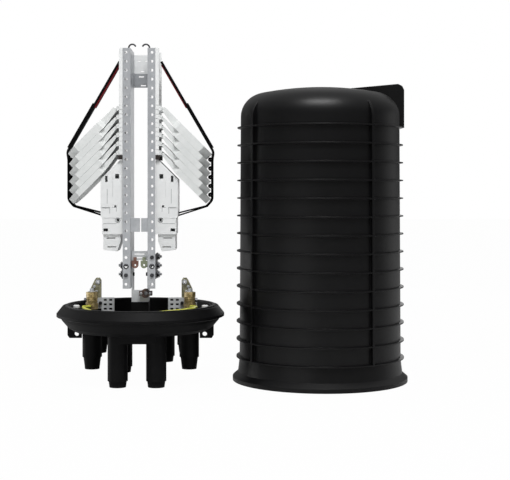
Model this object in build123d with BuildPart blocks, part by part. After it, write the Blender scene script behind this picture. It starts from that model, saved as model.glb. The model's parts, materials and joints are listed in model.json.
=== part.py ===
"""Dome-type fibre splice closure, shown opened: the base with its frame and trays, and the dome beside it.

Millimetres, +Z up, +Y away from the viewer. The floor is Z 0 and the origin lies on it, in the middle of
the whole arrangement. The base stands on its longest cable ports at -X, the dome on its rim at +X.
"""

from build123d import *
import math
import os

os.makedirs("parts", exist_ok=True)

# Driving sizes
hole_pitch = 17.5  # pitch of the rail holes, and of the trays that clip to them
rim_r = 167.0  # base rim
flange_r = 174.0  # dome flange
axis_gap = 358.0  # base axis to dome axis
seat = 0.2  # gap left between pieces that bear on each other

# Where the two halves stand
base_x = (rim_r - axis_gap - flange_r) / 2
dome_x = (rim_r + axis_gap - flange_r) / 2
sides = {"left": -1, "right": 1}

# Dome
dome_low_r = 160.5
dome_top_r = 158.0
shoulder_gap = 22.0  # from the uppermost rib up to the shoulder
shoulder_r = 47.0
shoulder_bend = 80.0
crown_height = 58.0
rib_count = 14
rib_low_z = 47.0
rib_pitch = 35.0
rib_height = 6.5
rib_root = 4.4
rib_tip = 2.2
flange_edge = 8.0
flange_slope_z = 17.0
dome_wall = 4.0
socket_r = rim_r + 1.5
socket_z = 3.0
fin_angles = [-56.5, 33.5, 123.5, 213.5]  # from the front, towards +X
fin_t = 5.0
fin_drop = 8.0  # from the shoulder down to the fins' bend
lug_t = 6.0
lug_reach = 168.5
lug_start = 58.0
lug_rise = 8.0
lug_corner = 12.0

# Base housing
rim_z = 148.0
rim_top_r = 155.0
rim_low_z = 133.0
lip_z = 128.0
bowl_bottom_z = 100.0
floor_z = 105.0
bowl_in_r = 137.0
groove_in_r = 143.5
groove_out_r = 149.5
groove_depth = 3.2
ring_stand = 2.0
port_r = 19.5
port_end_r = 16.5
port_bore_r = 15.5
port_end_wall = 4.0
# each port: across, towards the back, end height, length of the narrower end
ports = [
    (-37.0, -95.0, 0.0, 12.0),
    (37.0, -95.0, 0.0, 12.0),
    (-97.0, 0.0, 21.0, 24.0),
    (97.0, 0.0, 21.0, 24.0),
    (-90.0, 56.0, 46.0, 16.0),
    (90.0, 56.0, 46.0, 16.0),
    (-44.0, 95.0, 0.0, 12.0),
    (44.0, 95.0, 22.0, 12.0),
]
web_y = 96.0
web_w = 40.0
web_z = 84.5
ear_hole_x = 128.0
ear_hole_z = 90.5
ear_hole_r = 4.5
ear_in_x = 118.0
ear_out_x = 146.0
ear_low_z = 82.5
ear_t = 9.0
post_w = 34.0
post_d = 46.0
post_z = 156.0
post_wall = 4.0
plug_x = 128.5
plug_r = 6.5
plug_boss_r = 9.0
plug_boss_z = 143.0
plug_t = 5.0

# Frame
rail_holes = 27
rail_low_z = 184.5
rail_top_z = rail_low_z + rail_holes * hole_pitch
rail_out_x = 32.0
rail_w = 15.2
rail_depth = 92.0
sheet = 1.5
rail_hole_r = 2.75
rail_hole_x = 25.5
rail_in_x = rail_out_x - rail_w
leg_x = rail_in_x - seat
bracket_sheet = 2.0
bracket_legs = 24.0
top_bracket_z = 586.3
top_bracket_h = 28.0
top_plate_h = 38.0
top_plate_t = 3.0
cross_plate_z = 296.0
cross_plate_h = 27.0
cross_plate_split = 3.0  # middle of the gap between the two plates
cross_plate_gap = 2.4
bolt_r = 2.4
bolt_head_t = 3.0
nut_r = 5.5
nut_t = 4.5
nut_in_x = rail_out_x + seat + sheet + seat
bolt_y = -12.0
bolt_margin = 7.0
foot_top_z = 258.0
foot_y = 22.0
foot_plate_t = 3.0
foot_faces = {"low": (169.0, 22.0), "high": (248.0, 18.0)}  # middle height and height of each
lug_t_earth = 7.0
lug_disc_r = 6.7
lug_disc_z = 230.0

# Hinge strips and trays
strip_t = 7.0
strip_low_z = 447.0
strip_skin = 2.4
strip_rim = 6.0
notch_h = 1.2
notch_depth = 0.8
clip_h = 9.0
clip_w = 9.0
clip_wall = 1.5
strip_in_x = rail_out_x + seat
strip_out_x = strip_in_x + strip_t
tray_count = 6
tray_angle = 45.0
pivot_x = strip_out_x + 3.5
top_pivot_z = 540.0
barrel_r = 2.6
barrel_play = 0.08
tray_len = 134.0
tray_w = 94.0
tray_top = 3.0
tray_low = hole_pitch * math.cos(math.radians(tray_angle)) - tray_top - seat
tray_arm = 49.0
tray_arm_w = 76.0
first_tray_rise = 3.4  # the uppermost tray is deeper than the others
tray_wall = 2.0
tray_corner = 20.0
hook_y = 41.0
hook_t = 3.0
comb_fins = 5
comb_pitch = 6.0

# Carriers
carrier_out_x = 76.0
carrier_low_z = 291.0
carrier_step_z = 323.0
carrier_side_z = 399.0
carrier_step = 3.2
carrier_y = 40.0
slot_depth = 30.0
line_w = 1.0
module_low_z = 257.0

# Retaining straps
strap_t = 5.0
band_t = 2.0
strap_w = 20.0

# Cable clamps and earth wires
clamp_x = 98.0
clamp_y = 13.0
clamp_low_z = 140.0
tall_in_x = 81.0
tall_out_x = 103.0
tall_top_z = 201.0
screw_r = 4.5
wire_r = 2.8
wire_end_x = 10.0
wire_end_z = 120.0

rib_top_z = rib_low_z + (rib_count - 1) * rib_pitch
shoulder_z = rib_top_z + shoulder_gap
crown_z = shoulder_z + crown_height
fin_bend_z = shoulder_z - fin_drop
lug_z = crown_z + lug_rise

base_axis = Axis((base_x, 0, 0), (0, 0, 1))
dome_axis = Axis((dome_x, 0, 0), (0, 0, 1))


def save(piece, name):
    """Labels a finished piece and writes its STEP file."""
    piece.label = name
    export_step(piece, f"parts/{name}.step")


def dome_body_r(z):
    """Radius of the dome's drafted wall at a height."""
    return dome_low_r + (dome_top_r - dome_low_r) * z / shoulder_z


def hollow_shoulder(angle):
    """Point on the inside of the dome's shoulder, by its angle from the wall."""
    reach = shoulder_r - dome_wall
    return (in_r - reach * (1 - math.cos(angle)), shoulder_z + reach * math.sin(angle))


def rail_hole_z(index):
    """Height of a rail hole, counted from the top."""
    return rail_top_z - hole_pitch * (index + 0.5)


def upright(x, y=0.0, turn=0.0):
    """Upright plane through a place on the floor, facing the viewer unless it is turned about Z."""
    facing = math.radians(turn - 90)
    outward = (math.cos(facing), math.sin(facing), 0)
    return Plane(origin=(x, y, 0), x_dir=(-outward[1], outward[0], 0), z_dir=outward)


def mirrored(points, side):
    """Turns points given for the right-hand side to the side that is wanted."""
    return [(side * x, z) for x, z in points]


# Dome cover: one moulding, its ribs part of the wall's own profile
dome_outline = [(0, 0), (flange_r, 0), (flange_r, flange_edge)]
dome_outline += [(dome_body_r(flange_slope_z) + 3, flange_slope_z)]
for index in range(rib_count):
    rib_z = rib_low_z + index * rib_pitch
    root_r = dome_body_r(rib_z)
    dome_outline += [(root_r, rib_z - rib_root / 2), (root_r + rib_height, rib_z - rib_tip / 2)]
    dome_outline += [(root_r + rib_height, rib_z + rib_tip / 2), (root_r, rib_z + rib_root / 2)]
dome_outline += [(dome_top_r, shoulder_z)]
bend = math.radians(shoulder_bend)
crown_edge_r = dome_top_r - shoulder_r * (1 - math.cos(bend))
crown_edge_z = shoulder_z + shoulder_r * math.sin(bend)
crown_rise = crown_z - crown_edge_z
crown_r = (crown_edge_r**2 + crown_rise**2) / (2 * crown_rise)
crown_half = math.asin(crown_edge_r / crown_r) / 2
crown_mid = (crown_r * math.sin(crown_half), crown_z - crown_r * (1 - math.cos(crown_half)))
in_r = dome_top_r - dome_wall
fin_r = dome_body_r(fin_bend_z) + rib_height
fin_root_r = fin_r - shoulder_r

with BuildPart() as dome_cover:
    with BuildSketch(upright(dome_x)):
        with BuildLine():
            Polyline(*dome_outline)
            RadiusArc((dome_top_r, shoulder_z), (crown_edge_r, crown_edge_z), -shoulder_r)
            ThreePointArc((crown_edge_r, crown_edge_z), crown_mid, (0, crown_z))
            Line((0, crown_z), (0, 0))
        make_face()
    revolve(axis=dome_axis)
    for angle in fin_angles:
        with BuildSketch(upright(dome_x, turn=angle + 90)):
            with BuildLine():
                Line((fin_root_r, rib_low_z), (dome_body_r(rib_low_z) + rib_height, rib_low_z))
                Line((dome_body_r(rib_low_z) + rib_height, rib_low_z), (fin_r, fin_bend_z))
                RadiusArc((fin_r, fin_bend_z), (fin_root_r, fin_bend_z + shoulder_r), -shoulder_r)
                Line((fin_root_r, fin_bend_z + shoulder_r), (fin_root_r, rib_low_z))
            make_face()
        extrude(amount=fin_t / 2, both=True)
    with BuildSketch(upright(dome_x)):
        with BuildLine():
            Polyline(
                (lug_start, crown_z - 8),
                (lug_start, crown_z - 1),
                (lug_reach - lug_corner, lug_z),
                (lug_reach - lug_corner / 3, lug_z - lug_corner / 3),
                (lug_reach, lug_z - lug_corner),
                (lug_reach, rib_top_z),
                (lug_start, rib_top_z),
                close=True,
            )
        make_face()
    extrude(amount=lug_t / 2, both=True)
    with BuildSketch(upright(dome_x)):
        with BuildLine():
            Polyline(
                (0, 0),
                (socket_r, 0),
                (socket_r, socket_z),
                (dome_low_r - dome_wall, flange_slope_z),
                *[hollow_shoulder(bend * share) for share in (0, 0.5, 1)],
                (0, crown_z - dome_wall),
                close=True,
            )
        make_face()
    revolve(axis=dome_axis, mode=Mode.SUBTRACT)
save(dome_cover.part, "dome_cover")

# Base housing: rim, bowl, ports, ears, plug bosses and the hollow post of the frame in one moulding
with BuildPart() as base_housing:
    with BuildSketch(upright(base_x)):
        with BuildLine():
            Polyline(
                (0, bowl_bottom_z),
                (134, bowl_bottom_z),
                (145, bowl_bottom_z + 7),
                (149, bowl_bottom_z + 12),
                (156, bowl_bottom_z + 20),
                (159, lip_z - 3),
                (rim_r, lip_z),
                (rim_r, rim_low_z),
                (rim_top_r, rim_z),
                (groove_out_r, rim_z),
                (groove_out_r, rim_z - groove_depth),
                (groove_in_r, rim_z - groove_depth),
                (groove_in_r, rim_z),
                (bowl_in_r + 1, rim_z),
                (bowl_in_r - 2, floor_z),
                (0, floor_z),
                close=True,
            )
        make_face()
    revolve(axis=base_axis)
    with BuildSketch(Plane.XY.offset(web_z)):
        with Locations((base_x, -web_y), (base_x, web_y)):
            Rectangle(2 * ports[1][0], web_w)
    extrude(amount=bowl_bottom_z - web_z + 1)
    for x, y, end_z, tip in ports:
        with BuildSketch(Plane.XY.offset(end_z + tip)):
            with Locations((base_x + x, y)):
                Circle(port_r)
        extrude(amount=bowl_bottom_z + 1 - end_z - tip)
        with BuildSketch(Plane.XY.offset(end_z + tip)):
            with Locations((base_x + x, y)):
                Circle(port_end_r + 1)
        extrude(amount=-tip, taper=7)
        with BuildSketch(Plane.XY.offset(end_z + port_end_wall)):
            with Locations((base_x + x, y)):
                Circle(port_bore_r - 3)
        extrude(amount=tip, mode=Mode.SUBTRACT)
        with BuildSketch(Plane.XY.offset(end_z + tip)):
            with Locations((base_x + x, y)):
                Circle(port_bore_r)
        extrude(amount=floor_z - end_z - tip, mode=Mode.SUBTRACT)
    for side in sides.values():
        ear = [
            (ear_in_x, bowl_bottom_z + 2),
            (ear_in_x, ear_low_z),
            (ear_out_x - 4, ear_low_z),
            (ear_out_x, ear_low_z + 6),
            (ear_out_x, bowl_bottom_z + 12),
        ]
        with BuildSketch(upright(base_x)):
            with BuildLine():
                Polyline(*mirrored(ear, side), close=True)
            make_face()
        extrude(amount=ear_t / 2, both=True)
        with BuildSketch(upright(base_x)):
            with Locations((side * ear_hole_x, ear_hole_z)):
                Circle(ear_hole_r)
        extrude(amount=ear_t, both=True, mode=Mode.SUBTRACT)
        with BuildSketch(Plane.XY.offset(bowl_bottom_z + 1)):
            with Locations((base_x + side * plug_x, 0)):
                Circle(plug_boss_r)
        extrude(amount=plug_boss_z - bowl_bottom_z - 1)
    with BuildSketch(Plane.XY.offset(bowl_bottom_z)):
        with Locations((base_x, 0)):
            Rectangle(post_w, post_d)
    extrude(amount=post_z - bowl_bottom_z)
    with BuildSketch(Plane.XY.offset(bowl_bottom_z)):
        with Locations((base_x, 0)):
            Rectangle(post_w - 2 * post_wall, post_d - 2 * post_wall)
    extrude(amount=post_z - post_wall - bowl_bottom_z, mode=Mode.SUBTRACT)
    with BuildSketch(upright(base_x, -post_d / 2)):
        with Locations([(side * wire_end_x, wire_end_z) for side in sides.values()]):
            Circle(wire_r + seat)
    extrude(amount=-post_wall, mode=Mode.SUBTRACT)
save(base_housing.part, "base_housing")

# Sealing ring, standing a little proud of its groove
with BuildPart() as sealing_ring:
    with BuildSketch(upright(base_x)):
        with Locations(((groove_in_r + groove_out_r) / 2, rim_z - (groove_depth - seat - ring_stand) / 2)):
            Rectangle(groove_out_r - groove_in_r - 2 * seat, groove_depth - seat + ring_stand)
    revolve(axis=base_axis)
save(sealing_ring.part, "sealing_ring")

# White plugs on the bosses
for name, side in sides.items():
    with BuildPart() as plug:
        with Locations((base_x + side * plug_x, 0, plug_boss_z)):
            Cylinder(plug_r, plug_t, align=(Align.CENTER, Align.CENTER, Align.MIN))
        chamfer(plug.edges().group_by(Axis.Z)[-1], 1.5)
    save(plug.part, f"{name}_plug")

# Rails: folded angles, the web turned to the back on the inner side, a row of holes in the front flange
bolt_rows = {"left": (24, 25), "right": (23, 24, 25)}
for name, side in sides.items():
    with BuildPart() as rail:
        with BuildSketch(Plane.XY.offset(rail_low_z)):
            with Locations((base_x + side * (rail_in_x + rail_out_x) / 2, -rail_depth / 2)):
                Rectangle(rail_w, sheet, align=(Align.CENTER, Align.MIN))
            with Locations((base_x + side * (rail_in_x + sheet / 2), 0)):
                Rectangle(sheet, rail_depth)
        extrude(amount=rail_top_z - rail_low_z)
        with BuildSketch(upright(0, -rail_depth / 2)):
            with Locations([(base_x + side * rail_hole_x, rail_hole_z(i)) for i in range(rail_holes)]):
                Circle(rail_hole_r)
        extrude(amount=-2 * sheet, mode=Mode.SUBTRACT)
        with BuildSketch(Plane.YZ.offset(base_x)):
            with Locations([(bolt_y, rail_hole_z(i)) for i in bolt_rows[name]]):
                Circle(bolt_r + seat / 2)
        extrude(amount=side * rail_out_x, mode=Mode.SUBTRACT)
    save(rail.part, f"{name}_rail")

# Bolts through the foot bracket's legs and the rails' webs, with a stack of nuts on the outer end
for name, side in sides.items():
    stages = [
        (leg_x - bracket_sheet - seat - bolt_head_t, bolt_head_t, nut_r - 1.5, 6),
        (leg_x - bracket_sheet - seat, nut_in_x - leg_x + bracket_sheet + seat, bolt_r, 8),
        (rail_in_x + sheet + seat, nut_t, nut_r, 6),
        (nut_in_x, nut_t, nut_r, 6),
        (nut_in_x + nut_t, nut_t / 2, bolt_r, 8),
    ]
    with BuildPart() as bolts:
        for start, length, r, edges in stages:
            with BuildSketch(Plane.YZ.offset(base_x + side * start)):
                with Locations([(bolt_y, rail_hole_z(i)) for i in bolt_rows[name]]):
                    RegularPolygon(r, edges)
            extrude(amount=side * length)
    save(bolts.part, f"{name}_rail_bolts")

# Plates behind the outer nuts, across the flanges' edges
for name, side in sides.items():
    rows_z = [rail_hole_z(i) for i in bolt_rows[name]]
    plate_h = rows_z[0] - rows_z[-1] + 2 * bolt_margin
    with BuildPart() as bolt_plate:
        with BuildSketch(Plane.YZ.offset(base_x + side * (rail_out_x + seat))):
            with Locations((-rail_depth / 2, (rows_z[0] + rows_z[-1]) / 2)):
                Rectangle(rail_depth / 2 + bolt_y + bolt_margin, plate_h, align=(Align.MIN, Align.CENTER))
            with Locations([(bolt_y, z) for z in rows_z]):
                Circle(bolt_r + seat / 2, mode=Mode.SUBTRACT)
        extrude(amount=side * sheet)
    save(bolt_plate.part, f"{name}_bolt_plate")


def spacer(low_z, height, y, legs):
    """Folded bracket between the rails' webs, with its face towards the viewer at Y and legs along them."""
    with BuildPart() as bracket:
        with BuildSketch(Plane.XY.offset(low_z)):
            with Locations((base_x, y)):
                Rectangle(2 * leg_x, bracket_sheet, align=(Align.CENTER, Align.MIN))
            for side in sides.values():
                with Locations((base_x + side * (leg_x - bracket_sheet / 2), y + bracket_sheet)):
                    Rectangle(bracket_sheet, legs, align=(Align.CENTER, Align.MAX))
        extrude(amount=height)
    return bracket.part


# Bracket and white plate at the top, near the back of the rails
back_y = rail_depth / 2 - bracket_sheet
with BuildPart() as top_bracket:
    add(spacer(top_bracket_z, top_bracket_h, back_y, bracket_legs))
    with BuildSketch(upright(0, back_y)):
        with Locations((base_x - 2, top_bracket_z + top_bracket_h - 6), (base_x + 2, top_bracket_z + 4)):
            SlotOverall(11, 2.2)
    extrude(amount=-bracket_sheet, mode=Mode.SUBTRACT)
save(top_bracket.part, "top_bracket")

with BuildPart() as top_plate:
    plate_z = top_bracket_z + top_bracket_h + seat
    with Locations((base_x, back_y, plate_z)):
        Box(2 * leg_x, top_plate_t, top_plate_h, align=(Align.CENTER, Align.MIN, Align.MIN))
    with BuildSketch(upright(0, back_y)):
        with Locations((base_x, plate_z + 5), (base_x - 7, plate_z + 26), (base_x + 9, plate_z + 26)):
            SlotOverall(7, 2)
    extrude(amount=-top_plate_t, mode=Mode.SUBTRACT)
save(top_plate.part, "top_plate")

# Cross plates: one on each web, meeting near the middle
cross_y = -rail_depth / 2 + sheet + seat
for name, side in sides.items():
    plate_end = cross_plate_split + side * cross_plate_gap / 2
    with BuildPart() as cross_plate:
        with BuildSketch(Plane.XY.offset(cross_plate_z)):
            with Locations((base_x + (side * leg_x + plate_end) / 2, cross_y)):
                Rectangle(abs(side * leg_x - plate_end), bracket_sheet, align=(Align.CENTER, Align.MIN))
            with Locations((base_x + side * (leg_x - bracket_sheet / 2), cross_y)):
                Rectangle(bracket_sheet, bracket_legs, align=(Align.CENTER, Align.MIN))
        extrude(amount=cross_plate_h)
    save(cross_plate.part, f"{name}_cross_plate")

# Foot bracket: two legs up between the rails from a plate on the housing's post, two cross faces in front
foot_low_z = post_z + seat
with BuildPart() as foot_bracket:
    with BuildSketch(upright(base_x)):
        with Locations((0, foot_low_z)):
            Rectangle(2 * leg_x, foot_plate_t, align=(Align.CENTER, Align.MIN))
        for side in sides.values():
            with Locations((side * (leg_x - bracket_sheet / 2), foot_low_z)):
                Rectangle(bracket_sheet, foot_top_z - foot_low_z, align=(Align.CENTER, Align.MIN))
    extrude(amount=foot_y, both=True)
    with BuildSketch(upright(base_x, -foot_y)):
        for middle_z, height in foot_faces.values():
            with Locations((0, middle_z)):
                Rectangle(2 * leg_x, height)
        with Locations((-1, foot_faces["high"][0] + 3), (2, foot_faces["high"][0] - 4)):
            SlotOverall(20, 1.6, mode=Mode.SUBTRACT)
    extrude(amount=-bracket_sheet)
    with BuildSketch(Plane.YZ.offset(base_x)):
        with Locations([(bolt_y, rail_hole_z(i)) for i in bolt_rows["right"]]):
            Circle(bolt_r + seat / 2)
    extrude(amount=leg_x, both=True, mode=Mode.SUBTRACT)
save(foot_bracket.part, "foot_bracket")

# Earth lugs in front of the foot bracket's upper face: a tongue, a cap and a holed disc
for name, x in {"copper_lug": -9.2, "green_lug": 8.6}.items():
    with BuildPart() as lug:
        with BuildSketch(upright(base_x + x, -foot_y - seat)):
            with Locations((0, lug_disc_z + 4)):
                Rectangle(2 * lug_disc_r, 8)
            with Locations((0, lug_disc_z)):
                Circle(lug_disc_r)
            with Locations((0, lug_disc_z + 11)):
                Rectangle(6, 8)
            with Locations((0, lug_disc_z - 0.5)):
                Circle(2.2, mode=Mode.SUBTRACT)
        extrude(amount=lug_t_earth)
    save(lug.part, name)

# Screws in the front flanges
with BuildPart() as face_screws:
    spots = [(-1, 25), (1, 23), (1, 25)]
    with BuildSketch(upright(0, -rail_depth / 2 - seat)):
        with Locations([(base_x + side * rail_hole_x, rail_hole_z(i)) for side, i in spots]):
            RegularPolygon(4, 8)
    extrude(amount=2.4)
    with BuildSketch(upright(0, -rail_depth / 2 - seat)):
        with Locations([(base_x + side * rail_hole_x, rail_hole_z(i)) for side, i in spots]):
            RegularPolygon(rail_hole_r - seat, 8)
    extrude(amount=-4)
save(face_screws.part, "face_screws")

# Clamp on the foot bracket's cross face
with BuildPart() as bottom_clamp:
    with BuildSketch(upright(base_x + 12, -foot_y - seat)):
        with Locations((0, 174)):
            Rectangle(26, 9)
            Circle(9)
            Circle(4, mode=Mode.SUBTRACT)
    extrude(amount=10)
save(bottom_clamp.part, "bottom_clamp")

# Spring hooks over the inner edges of the rail tops
with BuildPart() as spring_hooks:
    for side in sides.values():
        hook = [(22, -9), (22, 1), (17, 9), (11, 9), (7, 3), (8.2, 2.6), (11.6, 7.8), (16.4, 7.8), (20.6, 0.8)]
        hook += [(20.6, -9)]
        with BuildSketch(upright(base_x, -rail_depth / 2 + sheet + seat)):
            with BuildLine():
                Polyline(*[(side * x, rail_top_z + z) for x, z in hook], close=True)
            make_face()
        extrude(amount=-4)
save(spring_hooks.part, "spring_hooks")

# Hinge strips: a plate on each rail's web with a pair of open hooks for every tray
pivots_z = [top_pivot_z - hole_pitch * index for index in range(tray_count)]
for name, side in sides.items():
    with BuildPart() as strip:
        with BuildSketch(Plane.XY.offset(strip_low_z)):
            with Locations((base_x + side * (strip_in_x + strip_t / 2), 0)):
                Rectangle(strip_t, rail_depth)
            with Locations((base_x + side * strip_out_x, 0)):
                Rectangle(2 * (strip_t - strip_skin), rail_depth - 2 * strip_rim, mode=Mode.SUBTRACT)
        extrude(amount=rail_top_z - strip_low_z)
        with BuildSketch(upright(0, -rail_depth / 2)):
            for z in pivots_z:
                with Locations((base_x + side * (strip_in_x + strip_t / 2), z)):
                    with GridLocations(1, hole_pitch / 2, 1, 2):
                        Rectangle(strip_t + 1, notch_h)
        extrude(amount=-notch_depth, mode=Mode.SUBTRACT)
        for y in (-hook_y, hook_y):
            with BuildSketch(upright(base_x, y)):
                for z in pivots_z:
                    with Locations((side * (pivot_x - 3), z - 1)):
                        Rectangle(9, 9)
                for z in pivots_z:
                    with Locations((side * pivot_x, z)):
                        Circle(barrel_r + barrel_play, mode=Mode.SUBTRACT)
                    with Locations((side * (pivot_x + 4), z + 2.4)):
                        Rectangle(8, 4.4, mode=Mode.SUBTRACT)
            extrude(amount=hook_t / 2, both=True)
    save(strip.part, f"{name}_hinge_strip")

    with BuildPart() as clip:
        with BuildSketch(Plane.XY.offset(strip_low_z - seat - clip_h)):
            with Locations((base_x + side * (strip_in_x + clip_w / 2), 0)):
                Rectangle(clip_w, rail_depth)
            with Locations((base_x + side * (strip_in_x + clip_w / 2 + clip_wall), 0)):
                Rectangle(clip_w, rail_depth - 4 * clip_wall, mode=Mode.SUBTRACT)
        extrude(amount=clip_h)
    save(clip.part, f"{name}_strip_clip")


def tray_planes(side, index):
    """Side-view and plan-view planes of a tray, both drawn from its pivot with X along the tray."""
    lean = math.radians(tray_angle)
    along = (side * math.cos(lean), 0, -math.sin(lean))
    up = (side * math.sin(lean), 0, math.cos(lean))
    pivot = (base_x + side * pivot_x, 0, pivots_z[index])
    return Plane(pivot, x_dir=along, z_dir=(0, -side, 0)), Plane(pivot, x_dir=along, z_dir=up)


def tray_point(index, along, up):
    """Distance from the base's axis and height of a point on a tray."""
    lean = math.radians(tray_angle)
    x = pivot_x + along * math.cos(lean) + up * math.sin(lean)
    return x, pivots_z[index] - along * math.sin(lean) + up * math.cos(lean)


# Splice trays: open pans on tapered arms, with a barrel that snaps into the strip's hooks
for name, side in sides.items():
    for index in range(tray_count):
        side_view, plan_view = tray_planes(side, index)
        top = tray_top + (first_tray_rise if index == 0 else 0)
        with BuildPart() as tray:
            with BuildSketch(side_view):
                with BuildLine():
                    Polyline(
                        (1, -1.5),
                        (5, top),
                        (tray_len, top),
                        (tray_len, -tray_low),
                        (tray_arm, -tray_low),
                        (3, -2.4),
                        close=True,
                    )
                make_face()
            extrude(amount=tray_w / 2, both=True)
            with BuildSketch(plan_view.offset(-20)):
                with BuildLine():
                    Polyline(
                        (-10, -tray_arm_w / 2),
                        (tray_arm - 9, -tray_arm_w / 2),
                        (tray_arm, -tray_w / 2),
                        (tray_len - tray_corner, -tray_w / 2),
                        (tray_len, -tray_w / 2 + tray_corner),
                        (tray_len, tray_w / 2 - tray_corner),
                        (tray_len - tray_corner, tray_w / 2),
                        (tray_arm, tray_w / 2),
                        (tray_arm - 9, tray_arm_w / 2),
                        (-10, tray_arm_w / 2),
                        close=True,
                    )
                make_face()
            extrude(amount=40, mode=Mode.INTERSECT)
            with BuildSketch(plan_view.offset(top)):
                with BuildLine():
                    Polyline(
                        (tray_arm + 2, -tray_w / 2 + tray_wall),
                        (tray_len - tray_corner, -tray_w / 2 + tray_wall),
                        (tray_len - tray_wall, -tray_w / 2 + tray_corner),
                        (tray_len - tray_wall, tray_w / 2 - tray_corner),
                        (tray_len - tray_corner, tray_w / 2 - tray_wall),
                        (tray_arm + 2, tray_w / 2 - tray_wall),
                        close=True,
                    )
                make_face()
            extrude(amount=-(top + tray_low - tray_wall), mode=Mode.SUBTRACT)
            with BuildSketch(plan_view.offset(tray_wall - tray_low)):
                with Locations((tray_len - 28, 0)):
                    with GridLocations(1, comb_pitch, 1, comb_fins):
                        Rectangle(26, 1.6)
            extrude(amount=5.5)
            with BuildSketch(side_view):
                Circle(barrel_r)
            extrude(amount=hook_y + hook_t / 2, both=True)
        save(tray.part, f"{name}_tray_{index + 1}")

# Carrier boxes under the trays, and the narrower modules below them
for name, side in sides.items():
    carrier_in_x = rail_out_x + seat
    body = [
        (carrier_in_x, carrier_low_z),
        (carrier_out_x - carrier_step, carrier_low_z),
        (carrier_out_x - carrier_step, carrier_step_z),
        (carrier_out_x, carrier_step_z + carrier_step),
        (carrier_out_x, carrier_side_z),
        (carrier_in_x + 6, carrier_side_z + carrier_out_x - carrier_in_x - 6),
        (carrier_in_x, carrier_side_z + carrier_out_x - carrier_in_x - 6),
    ]
    pockets = [
        (64.8, 400.0, 5.0, 12.0),
        (43.5, 405.0, 8.0, 9.0),
        (47.0, 346.0, 4.0, 4.0),
        (66.0, 299.5, 9.0, 6.0),
        (42.0, 319.0, 5.0, 6.0),
    ]
    with BuildPart() as carrier:
        with BuildSketch(upright(base_x)):
            with BuildLine():
                Polyline(*mirrored(body, side), close=True)
            make_face()
        extrude(amount=carrier_y, both=True)
        with BuildSketch(upright(base_x, -carrier_y)):
            for x, z, w, h in pockets:
                with Locations((side * x, z)):
                    Rectangle(w, h)
        extrude(amount=-slot_depth, mode=Mode.SUBTRACT)
        with BuildSketch(upright(base_x, -carrier_y)):
            with Locations((side * (carrier_out_x - 8), 334)):
                Rectangle(16, 20)
            with Locations((side * 52, 322.5)):
                Rectangle(48, 1)
            with Locations((side * 52, 383)):
                Rectangle(1, 40)
        extrude(amount=-1, mode=Mode.SUBTRACT)
    save(carrier.part, f"{name}_carrier")

    low = [
        (37.0, carrier_low_z - seat),
        (37.0, 277.0),
        (44.0, module_low_z),
        (71.0, module_low_z + 3),
        (71.0, carrier_low_z - seat),
    ]
    with BuildPart() as module:
        with BuildSketch(upright(base_x)):
            with BuildLine():
                Polyline(*mirrored(low, side), close=True)
            make_face()
        extrude(amount=carrier_y - 4, both=True)
        with BuildSketch(upright(base_x, -carrier_y + 4)):
            with Locations((side * 56, 283.4), (side * 54, 266)):
                Rectangle(17, 2.2)
        extrude(amount=-8, mode=Mode.SUBTRACT)
    save(module.part, f"{name}_module")

# Retaining straps: from the rail's top over the tray tips, and back to the carrier in two thin bands
first_tip = tray_point(0, tray_len, tray_top + first_tray_rise)
last_tip = tray_point(tray_count - 1, tray_len, tray_top)
last_heel = tray_point(tray_count - 1, tray_len, -tray_low)
slack = 5 * seat
strap_in_x = last_tip[0] + slack
strap_top_z = 641.5
band_join = (last_heel[0], last_heel[1] - 4)
band_ends_z = [332.6, 327.4]
for name, side in sides.items():
    strap_outline = [
        (strip_out_x + seat, strap_top_z - 1.5 * strap_t),
        (first_tip[0] + slack, first_tip[1] + 2),
        (strap_in_x, first_tip[1] - 8),
        (strap_in_x, last_tip[1] - slack / 2),
        (last_heel[0] + 1, last_heel[1] - 2),
        band_join,
        (band_join[0] + 2, band_join[1] - strap_t * 0.6),
        (strap_in_x + strap_t * 0.6, last_tip[1] - slack - 3),
        (strap_in_x + strap_t, last_tip[1] + 4),
        (strap_in_x + strap_t, first_tip[1] - 6),
        (first_tip[0] + slack + strap_t * 0.8, first_tip[1] + 6),
        (strip_out_x + seat, strap_top_z),
    ]
    with BuildPart() as strap:
        with BuildSketch(upright(base_x)):
            with BuildLine():
                Polyline(*mirrored(strap_outline, side), close=True)
            make_face()
            for low_z in band_ends_z:
                band = [
                    (carrier_out_x + seat, low_z - band_t / 2),
                    (carrier_out_x + seat, low_z + band_t / 2),
                    (band_join[0] + 1.5, band_join[1]),
                    (band_join[0] + 1.5, band_join[1] - band_t),
                ]
                with BuildLine():
                    Polyline(*mirrored(band, side), close=True)
                make_face()
        extrude(amount=strap_w / 2, both=True)
    save(strap.part, f"{name}_strap")

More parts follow.
